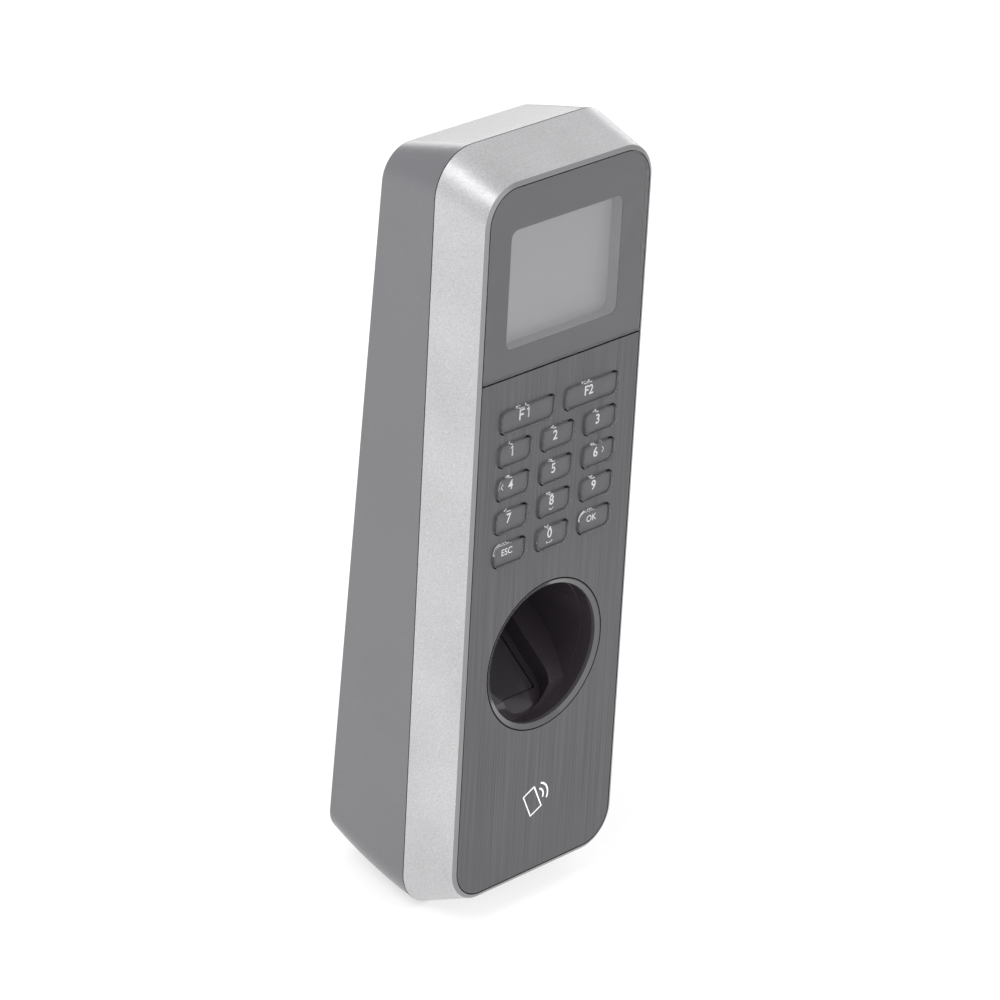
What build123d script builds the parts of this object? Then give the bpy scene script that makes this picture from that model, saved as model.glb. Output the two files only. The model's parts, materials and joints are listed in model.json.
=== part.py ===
from build123d import *
import os
from math import cos, radians, sin

# Wall-mounted fingerprint terminal. X = 0 is the symmetry plane, Y = 0 is the wall,
# the front faces -Y and +Z is up. All lengths are in mm.

# Overall form
tilt = 3.0  # the face leans back at the top, degrees
face_y = -39.0  # face plane at Z = 0
seam_w, seam_h, seam_r = 58.0, 195.5, 11.0
seam_v = -1.15
seam_depth = 15.0  # behind the face plane
seam_gap = 0.3
crease_w, crease_h, crease_r = 55.0, 184.0, 9.6  # where the front bevel starts
crease_depth = 0.55
rim_w, rim_h, rim_r = 53.1, 182.1, 8.65  # front outline of the frame
rim_proud = 0.05
crease_fillet = 0.3
back_w, back_r = 52.8, 8.0
back_top, back_bottom = 89.8, -93.3
waist_w, waist_r, waist_y = 55.4, 9.5, -11.85  # half way between seam and wall
waist_top, waist_bottom = 92.9, -97.5
shell = 2.0
back_floor = 4.5  # wall plane to the inside of the back wall

# Face plates
plate_w, plate_h, plate_r = 52.2, 181.2, 8.2
plate_t = 1.5
pocket_gap = 0.3
web_t = 1.5
divider_v = 43.8
divider_gap = 0.2
lens_t = 1.25
mask_t = 0.2
view_w, view_h, view_r, view_v = 36.8, 29.5, 2.2, 65.15

# Keys
key_w, key_h, key_r = 10.8, 5.8, 1.8
wide_key_w, wide_key_x = 18.0, 10.7
key_pitch = 14.3
row_pitch = 8.55
first_row_v, f_row_v = 24.35, 32.8
key_gap = 0.3
key_proud = 0.75
flange_out = 0.45
flange_top, flange_bottom, foot_depth = 1.8, 2.6, 3.4
key_fillet = 0.3

# Finger well
well_v = -32.6
ring_r, ring_hole_r = 19.2, 19.5
ring_in_r, ring_top_r = 17.9, 19.05
ring_slope = 0.6
ring_t = 1.6
cup_r, bore_r, bore_deep_r = 19.0, 17.9, 17.0
bore_floor, cup_floor = 25.0, 27.0
ramp_angle = 52.0
ramp_v, ramp_depth = -42.0, 16.4
shelf_rise, lip_depth = 4.6, 5.2
cradle_w, cradle_l, cradle_low, cradle_r = 19.0, 50.0, -13.7, 8.0
ramp_t = 3.0
glass_w, glass_l, glass_t, glass_r = 15.0, 18.0, 4.0, 1.0
sensor_w, sensor_l, sensor_t = 18.0, 22.0, 11.0
flange_w, flange_h, flange_t, flange_v = 46.0, 43.0, 1.6, -32.9

# Boards
keypad_w, keypad_top, keypad_bottom = 46.0, 42.0, -10.5
keypad_face, keypad_back = 5.8, 7.0
main_w, main_top, main_bottom = 48.0, 80.0, 0.0
tab_w, tab_top = 27.0, 90.2
main_face, main_back = 13.2, 14.8
lcd_w, lcd_h = 40.4, 34.5
lcd_face, lcd_back, light_back = 5.0, 6.8, 9.8
lcd_open_w, lcd_open_h, lcd_open_r = 37.2, 29.9, 2.4

# Fasteners
case_screw_x, case_top_v, case_low_v = 20.5, 87.0, -82.0
case_boss_r, case_frame_r = 3.9, 3.2
case_seat = 19.0
case_head_r, case_head_t, case_shank_r = 2.5, 2.0, 1.5
small_head_r, small_head_t, small_shank_r = 1.9, 1.2, 1.0
thread_gap = 0.05
post_r = 1.8
main_posts = [(-10, 87.5), (10, 87.5), (-18, 44.9), (18, 44.9)]
keypad_posts = [(-14, 39.9), (14, 39.9), (-14, -8.0), (14, -8.0)]
sensor_holes = [(-20.5, -14.5), (20.5, -14.5), (-20.5, -51.3), (20.5, -51.3)]
case_spots = [
    (-case_screw_x, case_top_v),
    (case_screw_x, case_top_v),
    (-case_screw_x, case_low_v),
    (case_screw_x, case_low_v),
]

# Wall bracket
plate_steel = 1.5
bracket_w, bracket_top, bracket_bottom = 35.0, 80.0, -84.0
bracket_r = 3.0
recess_depth, recess_gap = 2.5, 0.8
wall_hole_r, wall_hole_dx, wall_hole_dz = 2.25, 24.0, 120.0
cable_w, cable_top, cable_bottom, cable_r = 28.0, 52.0, -4.0, 4.0
hook_w, hook_x, hook_z, hook_rise, hook_reach = 6.0, 11.0, 70.0, 6.0, 6.5
lip_w, lip_reach, lip_screw_y = 12.0, 12.0, -7.0
lock_head_r, lock_head_t, lock_shank_r = 2.6, 1.7, 1.5
lock_seat_z, lock_end_z = -89.4, -80.0

lean = radians(tilt)
face_plane = Plane(
    origin=(0, face_y, 0), x_dir=(1, 0, 0), z_dir=(0, -cos(lean), sin(lean))
)
waist_plane = Plane(
    origin=(0, waist_y, 0), x_dir=(1, 0, 0), z_dir=(0, -cos(lean / 2), sin(lean / 2))
)
inward_axis = Axis(origin=(0, face_y, 0), direction=(0, cos(lean), -sin(lean)))
wall_plane = Plane.XZ


def at(depth):
    """The face plane moved inward by a depth."""
    return face_plane.offset(-depth)


def face_point(v, depth):
    """World point on the symmetry plane at a height up the face and a depth."""
    y = face_y + v * sin(lean) + depth * cos(lean)
    z = v * cos(lean) - depth * sin(lean)
    return (0, y, z)


ramp_lean = radians(tilt + ramp_angle)
ramp_plane = Plane(
    origin=face_point(ramp_v, ramp_depth),
    x_dir=(1, 0, 0),
    z_dir=(0, -cos(ramp_lean), sin(ramp_lean)),
)

column_x = [-key_pitch, 0, key_pitch]
keys = {"key_f1": (-wide_key_x, f_row_v, wide_key_w)}
keys["key_f2"] = (wide_key_x, f_row_v, wide_key_w)
grid_names = ["1", "2", "3", "4", "5", "6", "7", "8", "9", "esc", "0", "ok"]
for index, legend in enumerate(grid_names):
    row_v = first_row_v - row_pitch * (index // 3)
    keys["key_" + legend] = (column_x[index % 3], row_v, key_w)

# Front frame: drafted ring, pocket for the face plates, web and screw posts
with BuildPart() as front_frame:
    with BuildSketch(at(seam_depth)):
        with Locations((0, seam_v)):
            RectangleRounded(seam_w, seam_h, seam_r)
    with BuildSketch(at(crease_depth)):
        RectangleRounded(crease_w, crease_h, crease_r)
    loft()
    with BuildSketch(at(crease_depth)):
        RectangleRounded(crease_w, crease_h, crease_r)
    with BuildSketch(at(-rim_proud)):
        RectangleRounded(rim_w, rim_h, rim_r)
    loft()
    crease_edges = front_frame.edges().filter_by_position(
        inward_axis, crease_depth - 0.01, crease_depth + 0.01
    )
    fillet(crease_edges, radius=crease_fillet)
    with BuildSketch(at(plate_t)):
        RectangleRounded(
            plate_w + 2 * pocket_gap, plate_h + 2 * pocket_gap, plate_r + pocket_gap
        )
    extrude(amount=plate_t + 1.0, mode=Mode.SUBTRACT)

web_back = plate_t + web_t
with BuildPart() as frame_hollow:
    with BuildSketch(at(seam_depth)):
        with Locations((0, seam_v)):
            RectangleRounded(seam_w - 2 * shell, seam_h - 2 * shell, seam_r - shell)
    with BuildSketch(at(web_back)):
        RectangleRounded(crease_w - 2 * shell, crease_h - 2 * shell, crease_r - shell)
    loft()

with BuildPart() as frame_posts:
    with BuildSketch(at(seam_depth)):
        with Locations(*case_spots):
            Circle(case_frame_r)
    extrude(amount=seam_depth - web_back)
    with BuildSketch(at(main_face)):
        with Locations(*main_posts):
            Circle(post_r)
    extrude(amount=main_face - web_back)
    with BuildSketch(at(keypad_face)):
        with Locations(*keypad_posts):
            Circle(post_r)
    extrude(amount=keypad_face - web_back)

# Openings through the web: display, keys, finger well
keys_open_w, keys_open_top, keys_open_bottom, keys_open_r = 41.6, 36.9, -5.3, 2.5
keys_open_h = keys_open_top - keys_open_bottom
keys_open_v = (keys_open_top + keys_open_bottom) / 2
with BuildPart() as web_openings:
    with BuildSketch(at(web_back)):
        with Locations((0, view_v)):
            RectangleRounded(lcd_open_w, lcd_open_h, lcd_open_r)
        with Locations((0, keys_open_v)):
            RectangleRounded(keys_open_w, keys_open_h, keys_open_r)
        with Locations((0, well_v)):
            Circle(ring_hole_r)
    extrude(amount=web_t)

pilot_depth = 5.0
small_pilot = 2.2
sensor_pilot = 1.2
with BuildPart() as pilot_holes:
    with BuildSketch(at(seam_depth)):
        with Locations(*case_spots):
            Circle(case_shank_r + thread_gap)
    extrude(amount=seam_depth - pilot_depth)
    with BuildSketch(at(main_face)):
        with Locations(*main_posts):
            Circle(small_shank_r + thread_gap)
    extrude(amount=4.0)
    with BuildSketch(at(keypad_face)):
        with Locations(*keypad_posts):
            Circle(small_shank_r + thread_gap)
    extrude(amount=small_pilot)
    with BuildSketch(at(web_back)):
        with Locations(*sensor_holes):
            Circle(small_shank_r + thread_gap)
    extrude(amount=sensor_pilot)

with BuildPart() as frame_body:
    add(front_frame.part)
    add(frame_hollow.part, mode=Mode.SUBTRACT)
    add(frame_posts.part)
    add(web_openings.part, mode=Mode.SUBTRACT)
    add(pilot_holes.part, mode=Mode.SUBTRACT)

# Display window and its print
window_h = plate_h / 2 - divider_v - divider_gap
window_v = divider_v + divider_gap + window_h / 2
with BuildPart() as display_window:
    with BuildSketch(at(lens_t)):
        RectangleRounded(plate_w, plate_h, plate_r)
        with Locations((0, window_v)):
            Rectangle(plate_w, window_h, mode=Mode.INTERSECT)
    extrude(amount=lens_t)

with BuildPart() as display_mask:
    with BuildSketch(at(plate_t)):
        RectangleRounded(plate_w, plate_h, plate_r)
        with Locations((0, window_v)):
            Rectangle(plate_w, window_h, mode=Mode.INTERSECT)
        with Locations((0, view_v)):
            RectangleRounded(view_w, view_h, view_r, mode=Mode.SUBTRACT)
    extrude(amount=mask_t)

# Keypad panel
panel_h = plate_h / 2 + divider_v - divider_gap
panel_v = divider_v - divider_gap - panel_h / 2
with BuildPart() as keypad_panel:
    with BuildSketch(at(plate_t)):
        RectangleRounded(plate_w, plate_h, plate_r)
        with Locations((0, panel_v)):
            Rectangle(plate_w, panel_h, mode=Mode.INTERSECT)
        for key_x, key_v, width in keys.values():
            with Locations((key_x, key_v)):
                RectangleRounded(
                    width + 2 * key_gap,
                    key_h + 2 * key_gap,
                    key_r + key_gap,
                    mode=Mode.SUBTRACT,
                )
        with Locations((0, well_v)):
            Circle(ring_hole_r, mode=Mode.SUBTRACT)
    extrude(amount=plate_t)


def build_key(key_x, key_v, width):
    """One key cap with its retaining flange and a foot."""
    with BuildPart() as key:
        with BuildSketch(at(flange_top)):
            with Locations((key_x, key_v)):
                RectangleRounded(width, key_h, key_r)
        extrude(amount=flange_top + key_proud)
        fillet(key.faces().sort_by(Axis.Y)[0].edges(), radius=key_fillet)
        with BuildSketch(at(flange_bottom)):
            with Locations((key_x, key_v)):
                RectangleRounded(
                    width + 2 * flange_out, key_h + 2 * flange_out, key_r + flange_out
                )
        extrude(amount=flange_bottom - flange_top)
        with BuildSketch(at(foot_depth)):
            with Locations((key_x, key_v)):
                RectangleRounded(4.0, 3.0, 0.5)
        extrude(amount=foot_depth - flange_bottom)
    return key.part


# Key mat with one dome under each key
mat_w, mat_h, mat_v = 43.0, 43.2, 15.75
mat_face, dome_top = 5.0, 4.2
with BuildPart() as keypad_mat:
    with BuildSketch(at(keypad_face)):
        with Locations((0, mat_v)):
            RectangleRounded(mat_w, mat_h, 1.5)
    extrude(amount=keypad_face - mat_face)
    with BuildSketch(at(mat_face)):
        with Locations(*[(key_x, key_v) for key_x, key_v, width in keys.values()]):
            Circle(2.3)
    extrude(amount=mat_face - dome_top, taper=30)

keypad_h = keypad_top - keypad_bottom
with BuildPart() as keypad_board:
    with BuildSketch(at(keypad_back)):
        with Locations((0, (keypad_top + keypad_bottom) / 2)):
            RectangleRounded(keypad_w, keypad_h, 1.5)
        with Locations(*keypad_posts):
            Circle(small_shank_r + 0.1, mode=Mode.SUBTRACT)
    extrude(amount=keypad_back - keypad_face)

with BuildPart() as keypad_connector:
    with BuildSketch(at(keypad_back + 2.0)):
        with Locations((0, 34.0)):
            RectangleRounded(16.0, 4.5, 0.4)
    extrude(amount=2.0)

# Display module
with BuildPart() as lcd_frame:
    with BuildSketch(at(lcd_face)):
        with Locations((0, view_v)):
            RectangleRounded(lcd_w, lcd_h, 0.8)
            RectangleRounded(lcd_open_w, lcd_open_h, lcd_open_r, mode=Mode.SUBTRACT)
    extrude(amount=lcd_face - web_back)

with BuildPart() as lcd_panel:
    with BuildSketch(at(lcd_back)):
        with Locations((0, view_v)):
            RectangleRounded(lcd_w, lcd_h, 0.4)
    extrude(amount=lcd_back - lcd_face)

with BuildPart() as lcd_backlight:
    with BuildSketch(at(light_back)):
        with Locations((0, view_v)):
            RectangleRounded(lcd_w, lcd_h, 0.8)
    extrude(amount=light_back - lcd_back)

flex_v = view_v - lcd_h / 2 - 0.1
flex_top, connector_face = 5.4, 12.0
with BuildPart() as lcd_flex:
    with BuildSketch(at(connector_face)):
        with Locations((0, flex_v)):
            Rectangle(15.0, 0.2)
    extrude(amount=connector_face - flex_top)

with BuildPart() as display_connector:
    with BuildSketch(at(main_face)):
        with Locations((0, flex_v)):
            RectangleRounded(18.0, 3.6, 0.4)
    extrude(amount=main_face - connector_face)

# Ring round the finger well: a slope on a straight foot
with BuildPart() as sensor_ring:
    with BuildSketch(at(ring_slope)):
        with Locations((0, well_v)):
            Circle(ring_r)
    extrude(amount=ring_slope)
    with BuildSketch(at(ring_t)):
        with Locations((0, well_v)):
            Circle(ring_r)
    extrude(amount=ring_t - ring_slope)
    with BuildSketch(at(0)):
        with Locations((0, well_v)):
            Circle(ring_top_r)
    with BuildSketch(at(ring_slope)):
        with Locations((0, well_v)):
            Circle(ring_in_r)
    loft(mode=Mode.SUBTRACT)
    with BuildSketch(at(ring_t)):
        with Locations((0, well_v)):
            Circle(ring_in_r)
    extrude(amount=ring_t - ring_slope, mode=Mode.SUBTRACT)

# Finger well: a cup cut off under the ramp, with a cradle round the glass
with BuildPart() as upper_bore:
    with BuildSketch(at(bore_floor)):
        with Locations((0, well_v)):
            Circle(bore_deep_r)
    with BuildSketch(at(ring_t)):
        with Locations((0, well_v)):
            Circle(bore_r)
    loft()
    split(bisect_by=ramp_plane.offset(shelf_rise), keep=Keep.TOP)
    with BuildSketch(at(lip_depth)):
        with Locations((0, well_v)):
            Circle(bore_r)
    extrude(amount=lip_depth - ring_t)

with BuildPart() as cradle:
    with BuildSketch(at(bore_floor)):
        with Locations((0, well_v)):
            Circle(bore_deep_r)
    with BuildSketch(at(ring_t)):
        with Locations((0, well_v)):
            Circle(bore_r)
    loft()
    split(bisect_by=ramp_plane, keep=Keep.TOP)
    with BuildSketch(ramp_plane.offset(-1)):
        with Locations((0, cradle_low + cradle_l / 2)):
            RectangleRounded(cradle_w, cradle_l, cradle_r)
    extrude(amount=30.0, mode=Mode.INTERSECT)

with BuildPart() as sensor_well:
    with BuildSketch(at(cup_floor)):
        with Locations((0, well_v)):
            Circle(cup_r)
    extrude(amount=cup_floor - ring_t)
    with BuildSketch(at(web_back + flange_t)):
        with Locations((0, flange_v)):
            RectangleRounded(flange_w, flange_h, 3.0)
    extrude(amount=flange_t)
    split(bisect_by=ramp_plane.offset(-ramp_t), keep=Keep.TOP)
    add(upper_bore.part, mode=Mode.SUBTRACT)
    add(cradle.part, mode=Mode.SUBTRACT)
    with BuildSketch(ramp_plane.offset(-ramp_t)):
        RectangleRounded(glass_w + 0.2, glass_l + 0.2, glass_r + 0.1)
    extrude(amount=ramp_t, mode=Mode.SUBTRACT)
    with BuildSketch(at(web_back + flange_t)):
        with Locations(*sensor_holes):
            Circle(small_shank_r + 0.1)
    extrude(amount=flange_t, mode=Mode.SUBTRACT)

glass_sink = 0.3
glass_bottom = glass_sink + glass_t
with BuildPart() as sensor_glass:
    with BuildSketch(ramp_plane.offset(-glass_bottom)):
        RectangleRounded(glass_w, glass_l, glass_r)
    extrude(amount=glass_t)
    glass_edges = sensor_glass.faces().sort_by(Axis.Z)[-1].edges()
    chamfer(glass_edges, length=0.3)

# Optical reader under the glass
sensor_back = ramp_t + sensor_t
sensor_wall = 1.5
with BuildPart() as sensor_housing:
    with BuildSketch(ramp_plane.offset(-sensor_back)):
        RectangleRounded(sensor_w, sensor_l, 1.0)
    extrude(amount=sensor_t)
    with BuildSketch(ramp_plane.offset(-glass_bottom)):
        RectangleRounded(glass_w + 0.1, glass_l + 0.1, glass_r)
    extrude(amount=glass_bottom - ramp_t, mode=Mode.SUBTRACT)
    with BuildSketch(ramp_plane.offset(-sensor_back)):
        Rectangle(glass_w - sensor_wall, glass_l - sensor_wall)
    extrude(amount=sensor_back - glass_bottom, mode=Mode.SUBTRACT)

board_back = sensor_back + 1.2
with BuildPart() as sensor_board:
    with BuildSketch(ramp_plane.offset(-board_back)):
        RectangleRounded(sensor_w, sensor_l, 0.8)
    extrude(amount=1.2)

with BuildPart() as sensor_camera:
    with BuildSketch(ramp_plane.offset(-sensor_back)):
        Rectangle(8.0, 8.0)
    extrude(amount=2.0)
    with BuildSketch(ramp_plane.offset(-sensor_back + 2.0)):
        Circle(3.2)
    extrude(amount=3.0)

with BuildPart() as sensor_leds:
    with BuildSketch(ramp_plane.offset(-sensor_back)):
        with GridLocations(11.0, 13.0, 2, 2):
            Rectangle(1.6, 1.6)
    extrude(amount=0.8)

# Main board and what is soldered to it
main_h = main_top - main_bottom
with BuildPart() as main_board:
    with BuildSketch(at(main_back)):
        with Locations((0, (main_top + main_bottom) / 2)):
            RectangleRounded(main_w, main_h, 1.5)
        with Locations((0, main_top + (tab_top - main_top) / 2 - 1.0)):
            Rectangle(tab_w, tab_top - main_top + 2.0)
        with Locations(*main_posts):
            Circle(small_shank_r + 0.1, mode=Mode.SUBTRACT)
    extrude(amount=main_back - main_face)


def on_main(x, v, width, height, tall, corner):
    """A block standing on the rear of the main board."""
    with BuildPart() as block:
        with BuildSketch(at(main_back + tall)):
            with Locations((x, v)):
                RectangleRounded(width, height, corner)
        extrude(amount=tall)
    return block


shield_can = on_main(12.0, 64.0, 19.0, 19.0, 2.4, 1.0)
usb_port = on_main(-19.5, 8.0, 7.5, 5.5, 2.6, 0.8)
coin_holder = on_main(13.5, 32.0, 20.0, 20.0, 2.0, 4.0)

with BuildPart() as memory_chips:
    with BuildSketch(at(main_back + 1.0)):
        with Locations((-4.5, 36.0), (-4.5, 26.0)):
            Rectangle(8.0, 6.0)
    extrude(amount=1.0)

with BuildPart() as capacitors:
    with BuildSketch(at(main_back + 6.0)):
        with Locations((-19.5, 20.0), (-19.5, 28.0), (-19.5, 36.0)):
            Circle(2.5)
    extrude(amount=6.0)

with BuildPart() as coin_cell:
    with BuildSketch(at(main_back + 5.2)):
        with Locations((13.5, 32.0)):
            Circle(8.0)
    extrude(amount=3.2)

with BuildPart() as buzzer:
    with BuildSketch(at(main_back + 4.5)):
        with Locations((18.0, 12.0)):
            Circle(4.6)
    extrude(amount=4.5)
    with BuildSketch(at(main_back + 4.5)):
        with Locations((18.0, 12.0)):
            Circle(1.0)
    extrude(amount=1.5, mode=Mode.SUBTRACT)

# Terminal block: one entry and one screw well for each wire
terminal_tall = 8.5
terminal_count = 7
terminal_pitch = 3.5
with BuildPart() as terminal_block:
    with BuildSketch(at(main_back + terminal_tall)):
        with Locations((0, 10.0)):
            Rectangle(terminal_count * terminal_pitch + 1.0, 7.5)
    extrude(amount=terminal_tall)
    with BuildSketch(at(main_back + terminal_tall)):
        with Locations((0, 11.0)):
            with GridLocations(terminal_pitch, 1, terminal_count, 1):
                Rectangle(2.4, 2.6)
    extrude(amount=5.0, mode=Mode.SUBTRACT)

# Network jack with its mouth facing down
jack_v, jack_h, jack_tall, jack_x = 62.0, 18.0, 13.0, -11.0
jack_w = 16.0
with BuildPart() as network_jack:
    with BuildSketch(at(main_back + jack_tall)):
        with Locations((jack_x, jack_v)):
            Rectangle(jack_w, jack_h)
    extrude(amount=jack_tall)
    with BuildSketch(at(main_back + jack_tall - 2.0)):
        with Locations((jack_x, jack_v - 3.0)):
            Rectangle(jack_w - 4.0, jack_h - 6.0)
    extrude(amount=jack_tall - 4.5, mode=Mode.SUBTRACT)
    with BuildSketch(at(main_back + jack_tall - 2.0)):
        with Locations((jack_x, jack_v - jack_h / 2)):
            Rectangle(jack_w - 4.0, 8.0)
    extrude(amount=jack_tall - 4.5, mode=Mode.SUBTRACT)

# Tamper switch: its plunger passes the back wall and stops just off the bracket
tamper_x, tamper_z = -9.5, -10.5
tamper_body_front, tamper_body_back = 12.5, 4.5
plunger_r = 1.2
plunger_front = 9.0
with BuildPart() as tamper_switch:
    with BuildSketch(wall_plane.offset(tamper_body_back)):
        with Locations((tamper_x, tamper_z)):
            Rectangle(7.0, 7.0)
    extrude(amount=tamper_body_front - tamper_body_back)
    with BuildSketch(wall_plane.offset(tamper_body_back)):
        with Locations((tamper_x, tamper_z)):
            Circle(plunger_r + 0.05)
    extrude(amount=6.5, mode=Mode.SUBTRACT)

with BuildPart() as tamper_plunger:
    with BuildSketch(wall_plane.offset(plate_steel + 0.1)):
        with Locations((tamper_x, tamper_z)):
            Circle(plunger_r)
    extrude(amount=plunger_front - plate_steel - 0.1)

# Card reader board with its loop
rf_w, rf_h, rf_v = 33.0, 30.0, -72.5
with BuildPart() as rf_board:
    with BuildSketch(at(web_back + 1.0)):
        with Locations((0, rf_v)):
            RectangleRounded(rf_w, rf_h, 1.5)
    extrude(amount=1.0)

with BuildPart() as antenna_coil:
    with BuildSketch(at(web_back + 1.2)):
        for turn in range(4):
            loop_w = rf_w - 2.0 - 3.0 * turn
            loop_h = rf_h - 2.0 - 3.0 * turn
            with Locations((0, rf_v)):
                RectangleRounded(loop_w, loop_h, 2.0)
                RectangleRounded(loop_w - 1.6, loop_h - 1.6, 1.2, mode=Mode.SUBTRACT)
    extrude(amount=0.2)

# Rear housing: shell lofted over the waist, tongue against the frame, bosses and bracket recess
back_h = back_top - back_bottom
back_z = (back_top + back_bottom) / 2
inner_w, inner_top, inner_bottom = 49.0, 87.8, -88.4
inner_z = (inner_top + inner_bottom) / 2
recess_w = bracket_w + 2 * recess_gap
recess_h = bracket_top - bracket_bottom + 2 * recess_gap
bracket_z = (bracket_top + bracket_bottom) / 2
tongue_in = 0.6
with BuildPart() as housing_shell:
    with BuildSketch(at(seam_depth + seam_gap)):
        with Locations((0, seam_v)):
            RectangleRounded(seam_w, seam_h, seam_r)
    with BuildSketch(waist_plane):
        with Locations((0, (waist_top + waist_bottom) / 2)):
            RectangleRounded(waist_w, waist_top - waist_bottom, waist_r)
    with BuildSketch(wall_plane):
        with Locations((0, back_z)):
            RectangleRounded(back_w, back_h, back_r)
    loft()
    with BuildSketch(at(seam_depth + seam_gap)):
        with Locations((0, seam_v)):
            RectangleRounded(
                seam_w - 2 * tongue_in, seam_h - 2 * tongue_in, seam_r - tongue_in
            )
    extrude(amount=seam_gap)

with BuildPart() as housing_hollow:
    with BuildSketch(at(seam_depth)):
        with Locations((0, seam_v)):
            RectangleRounded(seam_w - 2 * shell, seam_h - 2 * shell, seam_r - shell)
    with BuildSketch(wall_plane.offset(back_floor)):
        with Locations((0, inner_z)):
            RectangleRounded(inner_w, inner_top - inner_bottom, back_r - shell)
    loft()

with BuildPart() as housing_bosses:
    with BuildSketch(at(seam_depth)):
        with Locations(*case_spots):
            Circle(case_boss_r)
    extrude(amount=-26.0)
    with BuildSketch(wall_plane.offset(back_floor - 0.5)):
        with Locations((0, -86.6)):
            Rectangle(lip_w + 2.0, 4.6)
    extrude(amount=lip_reach - back_floor + 1.0)

with BuildPart() as boss_limit:
    with BuildSketch(at(seam_depth)):
        with Locations((0, seam_v)):
            RectangleRounded(seam_w - 1.6, seam_h - 1.6, seam_r - 0.8)
    with BuildSketch(wall_plane.offset(0.4)):
        with Locations((0, back_z)):
            RectangleRounded(back_w - 1.6, back_h - 1.6, back_r - 0.8)
    loft()

with BuildPart() as case_holes:
    with BuildSketch(at(seam_depth)):
        with Locations(*case_spots):
            Circle(case_shank_r + 0.2)
    extrude(amount=seam_depth - case_seat)
    with BuildSketch(at(case_seat)):
        with Locations(*case_spots):
            Circle(case_head_r + 0.4)
    extrude(amount=-40.0)

gasket_in, gasket_far, gasket_tall = 0.9, 1.6, 0.8
with BuildPart() as housing_gasket:
    with BuildSketch(at(seam_depth + gasket_tall)):
        with Locations((0, seam_v)):
            RectangleRounded(
                seam_w - 2 * gasket_in, seam_h - 2 * gasket_in, seam_r - gasket_in
            )
            RectangleRounded(
                seam_w - 2 * gasket_far,
                seam_h - 2 * gasket_far,
                seam_r - gasket_far,
                mode=Mode.SUBTRACT,
            )
    extrude(amount=gasket_tall)

with BuildPart() as rear_housing:
    add(housing_shell.part)
    add(housing_hollow.part, mode=Mode.SUBTRACT)
    add((housing_bosses.part & boss_limit.part), mode=Mode.ADD)
    add(case_holes.part, mode=Mode.SUBTRACT)
    add(housing_gasket.part, mode=Mode.SUBTRACT)
    with BuildSketch(wall_plane):
        with Locations((0, bracket_z)):
            RectangleRounded(recess_w, recess_h, bracket_r)
    extrude(amount=recess_depth, mode=Mode.SUBTRACT)
    with BuildSketch(wall_plane):
        with Locations((0, (cable_top + cable_bottom) / 2)):
            RectangleRounded(
                cable_w + 4.0, cable_top - cable_bottom + 4.0, cable_r + 1.0
            )
        with Locations((-hook_x, hook_z + 2.5), (hook_x, hook_z + 2.5)):
            Rectangle(hook_w + 1.0, 9.0)
        with Locations((0, -82.9)):
            Rectangle(lip_w + 1.0, 2.8)
        with Locations((tamper_x, tamper_z)):
            Circle(plunger_r + 0.3)
    extrude(amount=back_floor, mode=Mode.SUBTRACT)
    with BuildSketch(Plane.XY.offset(-96.0)):
        with Locations((0, lip_screw_y)):
            Circle(lock_head_r + 0.4)
    extrude(amount=lock_seat_z + 96.0, mode=Mode.SUBTRACT)
    with BuildSketch(Plane.XY.offset(lock_seat_z)):
        with Locations((0, lip_screw_y)):
            Circle(lock_shank_r + 0.2)
    extrude(amount=8.0, mode=Mode.SUBTRACT)

# Wall bracket: steel plate, cable window, wall screw slots, hooks and lock lip
bracket_h = bracket_top - bracket_bottom
hook_zs = hook_z + hook_rise / 2
with BuildPart() as wall_bracket:
    with BuildSketch(wall_plane):
        with Locations((0, bracket_z)):
            RectangleRounded(bracket_w, bracket_h, bracket_r)
        with Locations((0, (cable_top + cable_bottom) / 2)):
            RectangleRounded(
                cable_w, cable_top - cable_bottom, cable_r, mode=Mode.SUBTRACT
            )
        with GridLocations(wall_hole_dx, wall_hole_dz, 2, 2):
            Circle(wall_hole_r, mode=Mode.SUBTRACT)
    extrude(amount=plate_steel)
    with BuildSketch(wall_plane):
        with Locations((-hook_x, hook_z), (hook_x, hook_z)):
            Rectangle(hook_w, plate_steel)
    extrude(amount=hook_reach)
    with BuildSketch(wall_plane.offset(hook_reach - plate_steel)):
        with Locations((-hook_x, hook_zs), (hook_x, hook_zs)):
            Rectangle(hook_w, hook_rise + plate_steel)
    extrude(amount=plate_steel)
    with BuildSketch(wall_plane):
        with Locations((0, bracket_bottom + plate_steel / 2)):
            Rectangle(lip_w, plate_steel)
    extrude(amount=lip_reach)
    with BuildSketch(Plane.XY.offset(bracket_bottom - 1.0)):
        with Locations((0, lip_screw_y)):
            Circle(lock_shank_r + thread_gap)
    extrude(amount=4.0, mode=Mode.SUBTRACT)

# Fasteners
with BuildPart() as case_screws:
    with BuildSketch(at(case_seat + case_head_t)):
        with Locations(*case_spots):
            Circle(case_head_r)
    extrude(amount=case_head_t)
    with BuildSketch(at(case_seat)):
        with Locations(*case_spots):
            Circle(case_shank_r)
    extrude(amount=case_seat - pilot_depth - 1.0)
    with BuildSketch(at(case_seat + case_head_t)):
        with Locations(*case_spots):
            RegularPolygon(1.3, 6)
    extrude(amount=1.2, mode=Mode.SUBTRACT)


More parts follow.
